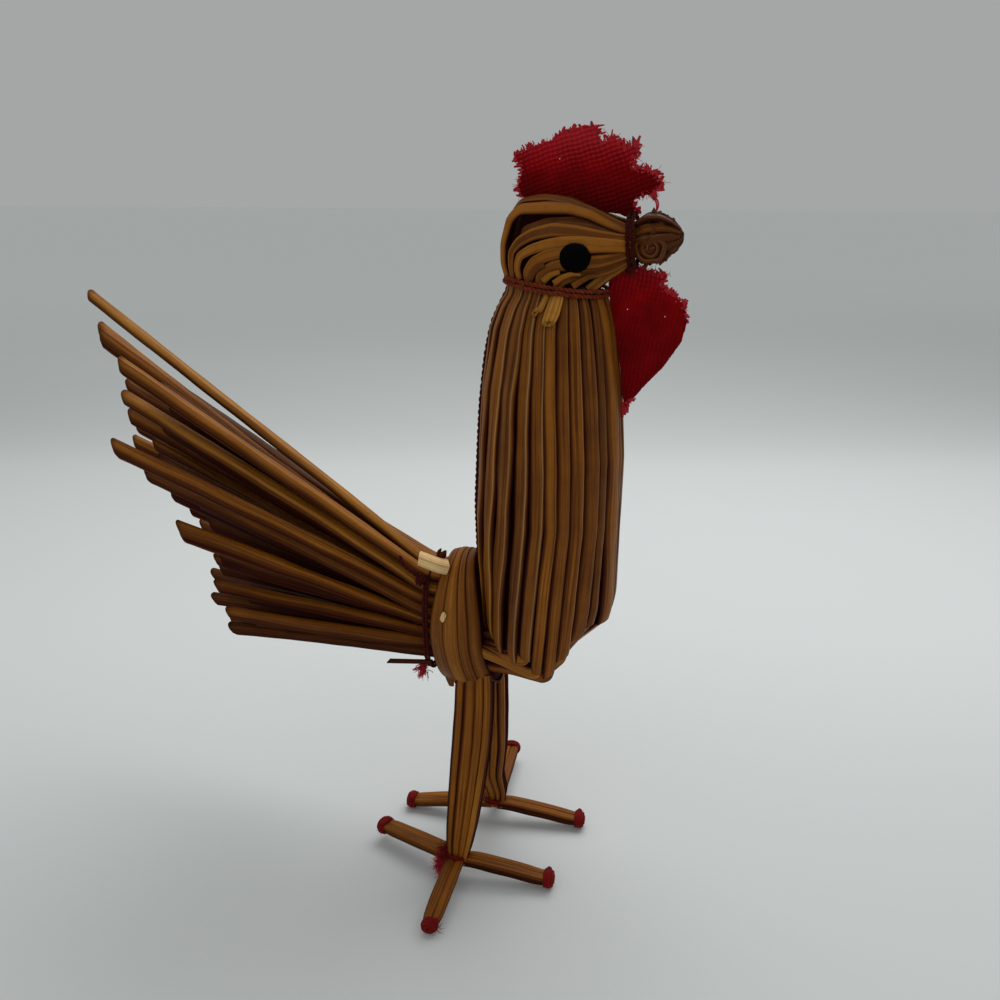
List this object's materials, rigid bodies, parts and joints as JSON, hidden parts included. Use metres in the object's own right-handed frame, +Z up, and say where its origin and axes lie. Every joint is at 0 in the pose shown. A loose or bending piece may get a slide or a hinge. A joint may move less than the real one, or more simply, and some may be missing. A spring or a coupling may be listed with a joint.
{
  "type": "straw rooster ornament",
  "caption": "Standing rooster figure of bound straw: bundled upright body, fanned tail, folded head with knotted beak, cloth comb and wattle, thread ties, two splayed straw feet.",
  "frame": {"origin": "on the floor under the middle of the bounding box", "axes": "+Z up along the standing height, +X the way the rooster faces, +Y its left side"},
  "size_m": [0.1172, 0.0604, 0.1402],
  "materials": {
    "straw": "aged golden brown straw, satin",
    "dark_straw": "darker twisted straw",
    "pale_straw": "pale cut straw",
    "cloth": "red plain woven cloth, frayed",
    "thread": "rusty red twisted thread",
    "toe_thread": "red twisted thread",
    "eye": "black round bead"
  },
  "bodies": {
    "root": {"head_straws": "straw", "eye_right": "eye", "eye_left": "eye", "neck_thread": "thread", "beak_thread": "thread", "back_thread": "thread", "neck_loose_end": "pale_straw", "beak": "dark_straw", "comb": "cloth", "wattle": "cloth", "breast_straws": "straw", "tail_straw_a1": "straw", "tail_straw_a2": "straw", "tail_straw_a3": "straw", "tail_straw_a4": "straw", "tail_straw_a5": "straw", "tail_straw_a6": "straw", "tail_straw_a7": "straw", "tail_straw_a8": "straw", "tail_straw_b1": "straw", "tail_straw_b2": "straw", "tail_straw_b3": "straw", "tail_straw_b4": "straw", "tail_straw_b5": "straw", "tail_straw_b6": "straw", "tail_straw_b7": "straw", "tail_straw_b8": "straw", "tail_straw_c1": "straw", "tail_straw_c2": "straw", "tail_straw_c3": "straw", "tail_straw_c4": "straw", "tail_straw_c5": "straw", "tail_straw_c6": "straw", "tail_straw_c7": "straw", "tail_straw_c8": "straw", "tail_thread": "thread", "pale_straw_stub": "pale_straw", "thin_broken_straw": "straw", "waist_wrap": "straw", "leg_right": "straw", "leg_left": "straw", "ankle_thread_right": "thread", "ankle_thread_left": "thread", "toe_right_front": "straw", "toe_thread_right_front": "toe_thread", "toe_right_back": "straw", "toe_thread_right_back": "toe_thread", "toe_right_side": "straw", "toe_thread_right_side": "toe_thread", "toe_left_front": "straw", "toe_thread_left_front": "toe_thread", "toe_left_back": "straw", "toe_thread_left_back": "toe_thread", "toe_left_side": "straw", "toe_thread_left_side": "toe_thread"}
  },
  "joints": []
}
